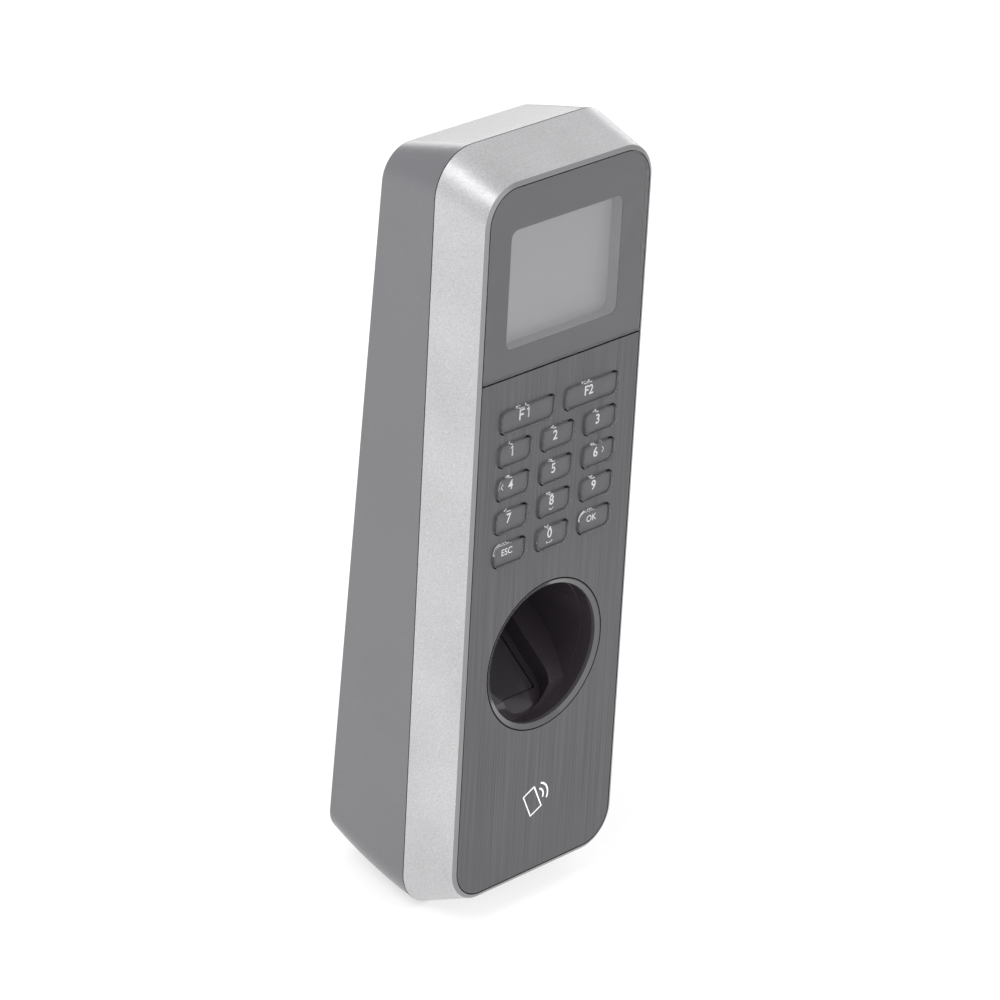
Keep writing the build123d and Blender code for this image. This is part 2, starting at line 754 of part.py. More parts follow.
def small_screws(spots, seat, length):
    """Pan-head screws whose heads sit at a depth, as one group of solids."""
    with BuildPart() as screws:
        with BuildSketch(at(seat + small_head_t)):
            with Locations(*spots):
                Circle(small_head_r)
        extrude(amount=small_head_t)
        with BuildSketch(at(seat)):
            with Locations(*spots):
                Circle(small_shank_r)
        extrude(amount=length)
        with BuildSketch(at(seat + small_head_t)):
            with Locations(*spots):
                Rectangle(2.2, 0.5)
                Rectangle(0.5, 2.2)
        extrude(amount=0.6, mode=Mode.SUBTRACT)
    return screws


board_screws = small_screws(main_posts, main_back, 5.0)
keypad_screws = small_screws(keypad_posts, keypad_back, 3.0)
sensor_screws = small_screws(sensor_holes, web_back + flange_t, 2.6)

with BuildPart() as bracket_screw:
    with BuildSketch(Plane.XY.offset(lock_seat_z - lock_head_t)):
        with Locations((0, lip_screw_y)):
            Circle(lock_head_r)
    extrude(amount=lock_head_t)
    with BuildSketch(Plane.XY.offset(lock_seat_z)):
        with Locations((0, lip_screw_y)):
            Circle(lock_shank_r)
    extrude(amount=lock_end_z - lock_seat_z)
    with BuildSketch(Plane.XY.offset(lock_seat_z - lock_head_t)):
        with Locations((0, lip_screw_y)):
            RegularPolygon(1.4, 6)
    extrude(amount=1.1, mode=Mode.SUBTRACT)

pieces = {
    "front_frame": frame_body.part,
    "display_window": display_window.part,
    "display_mask": display_mask.part,
    "keypad_panel": keypad_panel.part,
    "keypad_mat": keypad_mat.part,
    "keypad_board": keypad_board.part,
    "keypad_connector": keypad_connector.part,
    "lcd_frame": lcd_frame.part,
    "lcd_panel": lcd_panel.part,
    "lcd_backlight": lcd_backlight.part,
    "lcd_flex": lcd_flex.part,
    "display_connector": display_connector.part,
    "sensor_ring": sensor_ring.part,
    "sensor_well": sensor_well.part,
    "sensor_glass": sensor_glass.part,
    "sensor_housing": sensor_housing.part,
    "sensor_board": sensor_board.part,
    "sensor_camera": sensor_camera.part,
    "sensor_leds": sensor_leds.part,
    "main_board": main_board.part,
    "shield_can": shield_can.part,
    "usb_port": usb_port.part,
    "coin_holder": coin_holder.part,
    "coin_cell": coin_cell.part,
    "memory_chips": memory_chips.part,
    "capacitors": capacitors.part,
    "buzzer": buzzer.part,
    "terminal_block": terminal_block.part,
    "network_jack": network_jack.part,
    "tamper_switch": tamper_switch.part,
    "tamper_plunger": tamper_plunger.part,
    "rf_board": rf_board.part,
    "antenna_coil": antenna_coil.part,
    "rear_housing": rear_housing.part,
    "housing_gasket": housing_gasket.part,
    "wall_bracket": wall_bracket.part,
    "case_screws": case_screws.part,
    "board_screws": board_screws.part,
    "keypad_screws": keypad_screws.part,
    "sensor_screws": sensor_screws.part,
    "bracket_screw": bracket_screw.part,
}
for name, (key_x, key_v, width) in keys.items():
    pieces[name] = build_key(key_x, key_v, width)

os.makedirs("parts", exist_ok=True)
for name, piece in pieces.items():
    piece.label = name
    export_step(piece, f"parts/{name}.step")
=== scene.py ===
import bmesh
import bpy
import json
from math import cos, radians, sin
from mathutils import Matrix, Vector


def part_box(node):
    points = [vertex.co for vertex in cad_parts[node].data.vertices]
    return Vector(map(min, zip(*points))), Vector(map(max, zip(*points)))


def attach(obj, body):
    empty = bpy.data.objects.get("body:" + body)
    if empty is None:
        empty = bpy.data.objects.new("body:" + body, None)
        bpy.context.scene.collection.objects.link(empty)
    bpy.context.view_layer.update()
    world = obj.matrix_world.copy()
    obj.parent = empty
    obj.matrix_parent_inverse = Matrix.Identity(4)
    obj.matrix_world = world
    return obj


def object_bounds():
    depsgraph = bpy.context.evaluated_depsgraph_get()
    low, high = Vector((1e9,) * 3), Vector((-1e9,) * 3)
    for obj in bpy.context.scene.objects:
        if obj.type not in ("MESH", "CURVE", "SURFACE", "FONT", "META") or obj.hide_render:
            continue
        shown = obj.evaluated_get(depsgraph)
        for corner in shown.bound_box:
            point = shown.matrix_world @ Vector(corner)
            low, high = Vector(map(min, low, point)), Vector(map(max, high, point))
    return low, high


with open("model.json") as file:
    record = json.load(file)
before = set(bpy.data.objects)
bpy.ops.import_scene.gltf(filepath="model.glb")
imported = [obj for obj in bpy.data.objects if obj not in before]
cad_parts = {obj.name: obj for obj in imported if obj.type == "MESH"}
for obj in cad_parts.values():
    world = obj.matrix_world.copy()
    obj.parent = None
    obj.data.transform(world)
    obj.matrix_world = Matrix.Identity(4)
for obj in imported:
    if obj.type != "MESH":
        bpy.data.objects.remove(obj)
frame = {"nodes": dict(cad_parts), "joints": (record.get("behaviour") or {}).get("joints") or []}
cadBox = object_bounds()
nodes = frame["nodes"]
print("frame loaded:", len(nodes), "nodes")

# The face leans back a little. The keys travel straight into it, so their axis gives the lean.
mm = 0.001
perMetre = 1000.0
inward = Vector(next(j["axis"] for j in frame["joints"] if j["child"] == "key_1")).normalized()
across = Vector((1, 0, 0))
outward = -inward
upFace = outward.cross(across)
faceTurn = Matrix((across, upFace, outward)).transposed()


def faceSpan(name):
    # lowest and highest corner of a node along the face: across, up and outward
    points = [faceTurn.transposed() @ v.co for v in nodes[name].data.vertices]
    low = Vector([min(p[i] for p in points) for i in range(3)])
    high = Vector([max(p[i] for p in points) for i in range(3)])
    return low, high


def layOnFace(mesh, x, up, out):
    mesh.transform(Matrix.Translation(faceTurn @ Vector((x, up, out))) @ faceTurn.to_4x4())


# camera, floor and light
view = {"place": (-0.7737, -0.7189, 0.5341), "turn": (62.768, -4.965, -45.431), "lens": 178.17}
camera = bpy.data.objects.new("camera", bpy.data.cameras.new("camera"))
camera.location = view["place"]
camera.rotation_euler = [radians(a) for a in view["turn"]]
camera.data.lens = view["lens"]
camera.data.sensor_width = 36
camera.data.clip_start = 0.05
bpy.context.scene.collection.objects.link(camera)
bpy.context.scene.camera = camera
bpy.context.scene.view_settings.view_transform = "Standard"

studio = {
    "floorSize": 12.0,
    "floorColour": (0.5, 0.5, 0.5),
    "floorGlow": 0.58,
    "skyColour": (1, 1, 1, 1),
    "skyStrength": 0.8,
}
# name: place, aim, width, height, power
softBoxes = {
    "keyBox": ((-1.2, -0.1, 1.6), (0, 0, 0.05), 0.9, 0.9, 13),
    "backBox": ((1.6, 1.8, 0.45), (0, 0, 0.09), 2.0, 0.8, 11),
    "frontBox": ((-0.2, -1.8, 0.8), (0, 0, 0), 2.2, 2.0, 8),
}


def pointAt(place, target):
    return (Vector(target) - Vector(place)).to_track_quat("-Z", "Y").to_euler()


for name, (place, target, wide, tall, power) in softBoxes.items():
    lamp = bpy.data.lights.new(name, "AREA")
    lamp.shape = "RECTANGLE"
    lamp.size = wide
    lamp.size_y = tall
    lamp.energy = power
    box = bpy.data.objects.new(name, lamp)
    box.location = place
    box.rotation_euler = pointAt(place, target)
    box.visible_camera = False
    bpy.context.scene.collection.objects.link(box)

world = bpy.data.worlds.new("studio")
world.use_nodes = True
world.node_tree.nodes["Background"].inputs["Color"].default_value = studio["skyColour"]
world.node_tree.nodes["Background"].inputs["Strength"].default_value = studio["skyStrength"]
bpy.context.scene.world = world


def stockMaterial(name, colour, roughness, metallic=0.0):
    material = bpy.data.materials.new(name)
    material.use_nodes = True
    shader = material.node_tree.nodes["Principled BSDF"]
    shader.inputs["Base Color"].default_value = (*colour, 1)
    shader.inputs["Roughness"].default_value = roughness
    shader.inputs["Metallic"].default_value = metallic
    return material, material.node_tree, shader


floorMesh = bpy.data.meshes.new("floor")
bm = bmesh.new()
bmesh.ops.create_grid(bm, x_segments=1, y_segments=1, size=studio["floorSize"] / 2)
bmesh.ops.translate(bm, verts=bm.verts, vec=(0, 0, cadBox[0][2]))
bm.to_mesh(floorMesh)
bm.free()
floor = bpy.data.objects.new("floor", floorMesh)
bpy.context.scene.collection.objects.link(floor)
floorPaint, tree, shader = stockMaterial("floorPaint", studio["floorColour"], 0.9)
shader.inputs["Emission Color"].default_value = (1, 1, 1, 1)
shader.inputs["Emission Strength"].default_value = studio["floorGlow"]
floorMesh.materials.append(floorPaint)
print("camera, floor and light placed")


# shader groups shared by the finishes
def startGroup(name, inputs, outputs):
    group = bpy.data.node_groups.new(name, "ShaderNodeTree")
    for label, kind, value in inputs:
        socket = group.interface.new_socket(name=label, in_out="INPUT", socket_type=kind)
        if value is not None:
            socket.default_value = value
    for label, kind in outputs:
        group.interface.new_socket(name=label, in_out="OUTPUT", socket_type=kind)
    start = group.nodes.new("NodeGroupInput")
    end = group.nodes.new("NodeGroupOutput")
    return group, start, end


def mathNode(tree, operation, first, second=None):
    node = tree.nodes.new("ShaderNodeMath")
    node.operation = operation
    for index, value in enumerate((first, second)):
        if value is None:
            continue
        if isinstance(value, (int, float)):
            node.inputs[index].default_value = value
        else:
            tree.links.new(value, node.inputs[index])
    return node.outputs[0]


def mixColour(tree, mask, dark, light):
    node = tree.nodes.new("ShaderNodeMix")
    node.data_type = "RGBA"
    tree.links.new(mask, node.inputs[0])
    for socket, value in ((node.inputs[6], dark), (node.inputs[7], light)):
        if isinstance(value, tuple):
            socket.default_value = (*value, 1)
        else:
            tree.links.new(value, socket)
    return node.outputs[2]


def blend(tree, first, second, share):
    # two patterns added, the first with the given share of the sum
    return mathNode(
        tree, "ADD", mathNode(tree, "MULTIPLY", first, share),
        mathNode(tree, "MULTIPLY", second, 1 - share),
    )


def buildGrain():
    # fine speckle of paint or moulded plastic, with a slow cloud over it
    group, start, end = startGroup(
        "surfaceGrain",
        [("Vector", "NodeSocketVector", None), ("Grain Size", "NodeSocketFloat", 0.3),
         ("Cloud Size", "NodeSocketFloat", 20.0)],
        [("Speckle", "NodeSocketFloat"), ("Cloud", "NodeSocketFloat")],
    )
    for label, target, detail in (("Grain Size", "Speckle", 2.0), ("Cloud Size", "Cloud", 3.0)):
        scale = mathNode(group, "DIVIDE", perMetre, start.outputs[label])
        noise = group.nodes.new("ShaderNodeTexNoise")
        noise.inputs["Detail"].default_value = detail
        group.links.new(start.outputs["Vector"], noise.inputs["Vector"])
        group.links.new(scale, noise.inputs["Scale"])
        group.links.new(noise.outputs["Fac"], end.inputs[target])
    return group


def buildHairlines():
    # long thin strokes that run up the face
    group, start, end = startGroup(
        "hairlines",
        [("Vector", "NodeSocketVector", None), ("Line Width", "NodeSocketFloat", 0.3),
         ("Line Length", "NodeSocketFloat", 40.0)],
        [("Lines", "NodeSocketFloat"), ("Broad", "NodeSocketFloat")],
    )
    parts = group.nodes.new("ShaderNodeSeparateXYZ")
    group.links.new(start.outputs["Vector"], parts.inputs[0])
    for target, widthTimes, lengthTimes in (("Lines", 1.0, 1.0), ("Broad", 5.0, 2.0)):
        wide = mathNode(group, "MULTIPLY", start.outputs["Line Width"], widthTimes)
        tall = mathNode(group, "MULTIPLY", start.outputs["Line Length"], lengthTimes)
        sideways = mathNode(group, "MULTIPLY", parts.outputs[0], perMetre)
        upwards = mathNode(group, "MULTIPLY", parts.outputs[2], perMetre)
        joined = group.nodes.new("ShaderNodeCombineXYZ")
        group.links.new(mathNode(group, "DIVIDE", sideways, wide), joined.inputs[0])
        group.links.new(mathNode(group, "DIVIDE", upwards, tall), joined.inputs[2])
        noise = group.nodes.new("ShaderNodeTexNoise")
        noise.inputs["Scale"].default_value = 1.0
        noise.inputs["Detail"].default_value = 3.0
        noise.inputs["Roughness"].default_value = 0.65
        group.links.new(joined.outputs[0], noise.inputs["Vector"])
        group.links.new(noise.outputs["Fac"], end.inputs[target])
    return group


def buildRoundedMask():
    # 1 within a rounded outline seen from the front, 0 outside it
    group, start, end = startGroup(
        "insidePocket",
        [("Vector", "NodeSocketVector", None), ("Half Width", "NodeSocketFloat", 0.026),
         ("Half Height", "NodeSocketFloat", 0.09), ("Corner", "NodeSocketFloat", 0.008)],
        [("Mask", "NodeSocketFloat")],
    )
    parts = group.nodes.new("ShaderNodeSeparateXYZ")
    group.links.new(start.outputs["Vector"], parts.inputs[0])
    reach = []
    for output, half in ((0, "Half Width"), (2, "Half Height")):
        far = mathNode(group, "ABSOLUTE", parts.outputs[output])
        core = mathNode(group, "SUBTRACT", start.outputs[half], start.outputs["Corner"])
        reach.append(mathNode(group, "MAXIMUM", mathNode(group, "SUBTRACT", far, core), 0.0))
    squares = [mathNode(group, "MULTIPLY", far, far) for far in reach]
    length = mathNode(group, "SQRT", mathNode(group, "ADD", *squares))
    inside = mathNode(group, "LESS_THAN", length, start.outputs["Corner"])
    group.links.new(inside, end.inputs["Mask"])
    return group


def buildBelowFace():
    # 1 on whatever lies further in than a level measured out along the face
    group, start, end = startGroup(
        "belowFace",
        [("Vector", "NodeSocketVector", None), ("Level", "NodeSocketFloat", 0.0389)],
        [("Mask", "NodeSocketFloat")],
    )
    height = group.nodes.new("ShaderNodeVectorMath")
    height.operation = "DOT_PRODUCT"
    height.inputs[1].default_value = outward
    group.links.new(start.outputs["Vector"], height.inputs[0])
    below = mathNode(group, "LESS_THAN", height.outputs["Value"], start.outputs["Level"])
    group.links.new(below, end.inputs["Mask"])
    return group


grainGroup = buildGrain()
hairlineGroup = buildHairlines()
pocketGroup = buildRoundedMask()
belowGroup = buildBelowFace()


def placeGroup(tree, group, vector, **values):
    node = tree.nodes.new("ShaderNodeGroup")
    node.node_tree = group
    tree.links.new(vector, node.inputs["Vector"])
    for label, value in values.items():
        node.inputs[label].default_value = value
    return node


def objectPlace(tree):
    return tree.nodes.new("ShaderNodeTexCoord").outputs["Object"]


def ramp(tree, value, low, high, fromLow=0.3, fromHigh=0.7):
    node = tree.nodes.new("ShaderNodeMapRange")
    node.inputs["From Min"].default_value = fromLow
    node.inputs["From Max"].default_value = fromHigh
    node.inputs["To Min"].default_value = low
    node.inputs["To Max"].default_value = high
    tree.links.new(value, node.inputs["Value"])
    return node.outputs["Result"]


def bumpFrom(tree, shader, height, strength, depth):
    node = tree.nodes.new("ShaderNodeBump")
    node.inputs["Strength"].default_value = strength
    node.inputs["Distance"].default_value = depth
    tree.links.new(height, node.inputs["Height"])
    tree.links.new(node.outputs["Normal"], shader.inputs["Normal"])


def shade(colour, factor):
    return tuple(c * factor for c in colour)


speckleShare = 0.65


def mottled(name, look):
    # one finish: colour and roughness vary with grain and cloud, and the grain stands proud
    metal = look.get("metal", 0.0)
    material, tree, shader = stockMaterial(name, look["colour"], look["rough"], metal)
    place = objectPlace(tree)
    grain = placeGroup(
        tree, grainGroup, place,
        **{"Grain Size": look.get("grain", 0.3), "Cloud Size": look.get("cloud", 18.0)},
    )
    spread = look.get("spread", 0.08)
    mask = blend(tree, grain.outputs["Speckle"], grain.outputs["Cloud"], speckleShare)
    tone = ramp(tree, mask, 0.0, 1.0, 0.32, 0.68)
    dark, light = shade(look["colour"], 1 - spread), shade(look["colour"], 1 + spread)
    colour = mixColour(tree, tone, dark, light)
    tree.links.new(colour, shader.inputs["Base Color"])
    roughSpread = look.get("roughSpread", 0.05)
    rough = ramp(
        tree, grain.outputs["Cloud"], look["rough"] - roughSpread, look["rough"] + roughSpread
    )
    tree.links.new(rough, shader.inputs["Roughness"])
    if look.get("bump", 0.0):
        depth = look.get("bumpDepth", 0.02) * mm
        bumpFrom(tree, shader, grain.outputs["Speckle"], look["bump"], depth)
    for label, value in look.get("plain", {}).items():
        shader.inputs[label].default_value = value
    return material, tree, shader


def dress(material, *names):
    for name in names:
        slots = nodes[name].data.materials
        slots.clear()
        slots.append(material)


# painted front frame
framePaint = {
    "colour": (0.52, 0.52, 0.53),
    "rough": 0.36,
    "metal": 0.6,
    "grain": 0.34,
    "cloud": 30.0,
    "spread": 0.2,
    "bump": 0.3,
    "bumpDepth": 0.03,
    "bareColour": (0.012, 0.012, 0.013),  # in the pocket round the keys
    "wallColour": (0.46, 0.46, 0.47),  # in the pocket round the display
    "wallFrom": 0.0445,  # height where the display's part starts
    "pocketCorner": 8.4,
    "sideMargin": 0.15,
    "endMargin": 0.25,
    # painted shade on the frame's front lip: its depth behind the panel's top, and how dark the lip
    # is painted
    "bevelDepth": 0.5,
    "lipShadeTone": 0.5,
}
silver, tree, shader = mottled("silverPaint", framePaint)
maskLow, maskHigh = faceSpan("display_mask")
panelTop = faceSpan("keypad_panel")[1].z
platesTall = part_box("display_mask")[1].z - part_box("keypad_panel")[0].z
pocket = placeGroup(
    tree, pocketGroup, objectPlace(tree),
    **{
        "Half Width": (maskHigh.x - maskLow.x) / 2 + framePaint["sideMargin"] * mm,
        "Half Height": platesTall / 2 + framePaint["endMargin"] * mm,
        "Corner": framePaint["pocketCorner"] * mm,
    },
)
parts = tree.nodes.new("ShaderNodeSeparateXYZ")
tree.links.new(objectPlace(tree), parts.inputs[0])
upper = mathNode(tree, "GREATER_THAN", parts.outputs[2], framePaint["wallFrom"])
bare = mixColour(tree, upper, framePaint["bareColour"], framePaint["wallColour"])
painted = shader.inputs["Base Color"].links[0].from_socket
# painted shade: the front lip, standing further out than this level, is painted a darker copy of
# the silver
bevelLevel = panelTop - framePaint["bevelDepth"] * mm
belowBevel = placeGroup(tree, belowGroup, objectPlace(tree), Level=bevelLevel)
lipShadeColour = shade(framePaint["colour"], framePaint["lipShadeTone"])
painted = mixColour(tree, belowBevel.outputs["Mask"], lipShadeColour, painted)
tree.links.new(mixColour(tree, pocket.outputs["Mask"], painted, bare), shader.inputs["Base Color"])
outside = mathNode(tree, "SUBTRACT", 1.0, pocket.outputs["Mask"])
metal = mathNode(tree, "MULTIPLY", outside, framePaint["metal"])
tree.links.new(metal, shader.inputs["Metallic"])
dress(silver, "front_frame")

# rear housing
housingPlastic = {
    "colour": (0.152, 0.148, 0.16),
    "rough": 0.24,
    "grain": 0.22,
    "cloud": 40.0,
    "spread": 0.12,
    "bump": 0.12,
    "bumpDepth": 0.015,
    "plain": {"Specular IOR Level": 0.6},
}
dress(mottled("housingPlastic", housingPlastic)[0], "rear_housing")

# face plates
panelPlate = {
    "colour": (0.095, 0.092, 0.1),
    "rough": 0.34,
    "metal": 0.3,
    "lineWidth": 0.28,
    "lineLength": 45.0,
    # painted shade in the gaps round the keys: the colour and depth of the near-black cut edges
    "gapShadeColour": (0.02, 0.018, 0.02),
    "edgeDepth": 0.04,
    "lineShare": 0.7,
    "spread": 0.3,
    "roughSpread": 0.08,
    "bump": 0.1,
    "bumpDepth": 0.02,
}
brushed, tree, shader = stockMaterial(
    "brushedPlate", panelPlate["colour"], panelPlate["rough"], panelPlate["metal"]
)
lines = placeGroup(
    tree, hairlineGroup, objectPlace(tree),
    **{"Line Width": panelPlate["lineWidth"], "Line Length": panelPlate["lineLength"]},
)
mask = blend(tree, lines.outputs["Lines"], lines.outputs["Broad"], panelPlate["lineShare"])
tone = ramp(tree, mask, 0.0, 1.0, 0.35, 0.65)
darkLine = shade(panelPlate["colour"], 1 - panelPlate["spread"])
lightLine = shade(panelPlate["colour"], 1 + panelPlate["spread"])
plate = mixColour(tree, tone, darkLine, lightLine)
# painted shade: everything of the plate deeper than a hair below its top face, the cut edges round
# the keys, is painted near black
cutLevel = panelTop - panelPlate["edgeDepth"] * mm
cut = placeGroup(tree, belowGroup, objectPlace(tree), Level=cutLevel)
plateWithGapShade = mixColour(tree, cut.outputs["Mask"], plate, panelPlate["gapShadeColour"])
tree.links.new(plateWithGapShade, shader.inputs["Base Color"])
roughest = panelPlate["rough"] + panelPlate["roughSpread"]
smoothest = panelPlate["rough"] - panelPlate["roughSpread"]
tree.links.new(ramp(tree, mask, roughest, smoothest), shader.inputs["Roughness"])
bumpFrom(
    tree, shader, lines.outputs["Lines"], panelPlate["bump"], panelPlate["bumpDepth"] * mm
)
dress(brushed, "keypad_panel")

windowGlass = {
    "colour": (0.93, 0.93, 0.94),
    "rough": 0.006,
    "grain": 0.5,
    "cloud": 25.0,
    "spread": 0.01,
    "roughSpread": 0.004,
    "plain": {"Transmission Weight": 1.0, "IOR": 1.5},
}
dress(mottled("windowGlass", windowGlass)[0], "display_window")
windowPrint = {
    "colour": (0.043, 0.039, 0.05),
    "rough": 0.45,
    "grain": 0.1,
    "cloud": 30.0,
    "spread": 0.06,
}
dress(mottled("windowPrint", windowPrint)[0], "display_mask")

# display: grey polariser with a faint cell grid, lifted by a painted glow though it is no lamp
displayLook = {
    "colour": (0.40, 0.397, 0.415),
    "rough": 0.35,
    "paintedGlow": 0.12,
    "cell": 0.42,
    "gapFrom": 0.9,  # share of a cell before its gap line
    "gapTone": 0.94,
    "cloud": 30.0,
    "spread": 0.03,
}
lcd, tree, shader = stockMaterial("displayPolariser", displayLook["colour"], displayLook["rough"])
place = objectPlace(tree)
parts = tree.nodes.new("ShaderNodeSeparateXYZ")
tree.links.new(place, parts.inputs[0])
gridMask = None
for output in (0, 2):
    scaled = mathNode(tree, "MULTIPLY", parts.outputs[output], perMetre / displayLook["cell"])
    step = mathNode(tree, "GREATER_THAN", mathNode(tree, "FRACT", scaled), displayLook["gapFrom"])
    gridMask = step if gridMask is None else mathNode(tree, "MAXIMUM", gridMask, step)
grain = placeGroup(tree, grainGroup, place, **{"Cloud Size": displayLook["cloud"]})
cloud = ramp(tree, grain.outputs["Cloud"], 0.0, 1.0)
duller = shade(displayLook["colour"], 1 - displayLook["spread"])
clearer = shade(displayLook["colour"], 1 + displayLook["spread"])
gapColour = shade(displayLook["colour"], displayLook["gapTone"])
cells = mixColour(tree, gridMask, mixColour(tree, cloud, duller, clearer), gapColour)
tree.links.new(cells, shader.inputs["Base Color"])
tree.links.new(cells, shader.inputs["Emission Color"])
# painted light: the display glows faintly to make up for light lost under the window
shader.inputs["Emission Strength"].default_value = displayLook["paintedGlow"]
dress(lcd, "lcd_panel")
print("frame, housing, plates and display dressed")

# keys: clear caps over a dark printed core, with light legends whose white ink carries a painted
# glow
keyCap = {
    "colour": (0.95, 0.95, 0.96),
    "rough": 0.006,
    "grain": 0.4,
    "spread": 0.01,
    "roughSpread": 0.004,
    "plain": {"Transmission Weight": 1.0, "IOR": 1.5},
}
keyCore = {"colour": (0.152, 0.147, 0.16), "rough": 0.5, "grain": 0.12, "spread": 0.06}
# white ink with a painted glow: it glows faintly though it is no lamp, lifting the legends under
# the caps and the card symbol
ink = {
    "colour": (0.92, 0.92, 0.93),
    "rough": 0.5,
    "grain": 0.1,
    "spread": 0.04,
    "plain": {"Emission Color": (1, 1, 1, 1), "Emission Strength": 0.25},
}
capPlastic = mottled("capPlastic", keyCap)[0]
corePrint = mottled("corePrint", keyCore)[0]
legendInkAndGlow = mottled("legendInkAndGlow", ink)[0]

keySize = {
    "printDepth": 2.3,  # from the top of the cap to the print
    "coreThick": 0.5,
    "coreInset": 0.28,
    "flange": 0.45,
    "corner": 1.5,
    "cornerSteps": 8,
    "letterTall": 2.5,
    "smallTall": 1.75,
    "narrow": 0.95,
    "bold": 0.045,
    "smallBold": 0.02,
    "shift": (-0.35, 0.25),  # all legends sit a little left of the middle and above it
    "lift": {"key_8": 0.35, "key_0": 0.35},  # room for the mark below the number
    "inkThick": 0.02,
    "stroke": 0.22,
    "heavy": 0.5,
}
capitalShare = 0.73  # how tall a capital is for a text size of one
legends = {
    "key_f1": "F1", "key_f2": "F2", "key_1": "1", "key_2": "2", "key_3": "3", "key_4": "4",
    "key_5": "5", "key_6": "6", "key_7": "7", "key_8": "8", "key_9": "9", "key_esc": "ESC",
    "key_0": "0", "key_ok": "OK",
}


def makeObject(name, mesh, material, body):
    piece = bpy.data.objects.new(name, mesh)
    bpy.context.scene.collection.objects.link(piece)
    mesh.materials.append(material)
    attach(piece, body)
    return piece


def roundedSlab(wide, tall, thick, corner):
    # a slab with rounded corners, its top face at zero height
    mesh = bpy.data.meshes.new("slab")
    bm = bmesh.new()
    bmesh.ops.create_cube(bm, size=1.0)
    bmesh.ops.scale(bm, vec=(wide, tall, thick), verts=bm.verts)
    bmesh.ops.translate(bm, vec=(0, 0, -thick / 2), verts=bm.verts)
    uprights = [e for e in bm.edges if abs(e.verts[0].co.z - e.verts[1].co.z) > thick / 2]
    bmesh.ops.bevel(
        bm, geom=uprights, offset=corner, segments=keySize["cornerSteps"], profile=0.5,
        affect="EDGES", material=-1,
    )
    bmesh.ops.recalc_face_normals(bm, faces=bm.faces)
    bm.to_mesh(mesh)
    bm.free()
    return mesh


def meshFromCurve(curve, name):
    holder = bpy.data.objects.new(name, curve)
    bpy.context.scene.collection.objects.link(holder)
    bpy.context.view_layer.update()
    finished = holder.evaluated_get(bpy.context.evaluated_depsgraph_get())
    mesh = bpy.data.meshes.new_from_object(finished)
    bpy.data.objects.remove(holder)
    return mesh


def letterMesh(text, tall, narrow, bold, thick):
    curve = bpy.data.curves.new("letters", "FONT")
    curve.body = text
    curve.size = tall / capitalShare
    curve.align_x = "CENTER"
    curve.align_y = "CENTER"
    curve.extrude = thick / 2
    curve.offset = bold
    curve.resolution_u = 6
    mesh = meshFromCurve(curve, "letters")
    xs = [v.co.x for v in mesh.vertices]
    ys = [v.co.y for v in mesh.vertices]
    middle = Vector(((min(xs) + max(xs)) / 2, (min(ys) + max(ys)) / 2, 0))
    mesh.transform(Matrix.Diagonal((narrow, 1, 1, 1)) @ Matrix.Translation(-middle))
    return mesh


def scaledLines(lines, unit):
    return [[(x * unit, y * unit) for x, y in line] for line in lines]


def strokeMesh(lines, width, thick):
    # flattened strokes along each line of points
    curve = bpy.data.curves.new("strokes", "CURVE")
    curve.dimensions = "3D"
    curve.bevel_depth = width / 2
    curve.bevel_resolution = 2
    curve.use_fill_caps = True
    for line in lines:
        spline = curve.splines.new("POLY")
        spline.points.add(len(line) - 1)
        for point, (x, y) in zip(spline.points, line):
            point.co = (x, y, 0, 1)
    mesh = meshFromCurve(curve, "strokes")
    mesh.transform(Matrix.Diagonal((1, 1, thick / width, 1)))
    return mesh


def joinMeshes(name, meshes):
    bm = bmesh.new()
    for mesh in meshes:
        bm.from_mesh(mesh)
    bmesh.ops.remove_doubles(bm, verts=bm.verts, dist=1e-7)
    bmesh.ops.recalc_face_normals(bm, faces=bm.faces)
    joined = bpy.data.meshes.new(name)
    bm.to_mesh(joined)
    bm.free()
    return joined


# small marks beside some numbers, arrow heads and a space bar, in mm from the key's middle
sideMarks = {
    "key_4": [[(-2.5, 0.75), (-3.1, 0.0), (-2.5, -0.75)]],
    "key_6": [[(2.2, 0.75), (2.8, 0.0), (2.2, -0.75)]],
    "key_8": [[(-0.75, -1.65), (0.0, -2.15), (0.75, -1.65)]],
    "key_0": [[(-0.9, -1.6), (-0.9, -2.05), (0.9, -2.05), (0.9, -1.6)]],
}
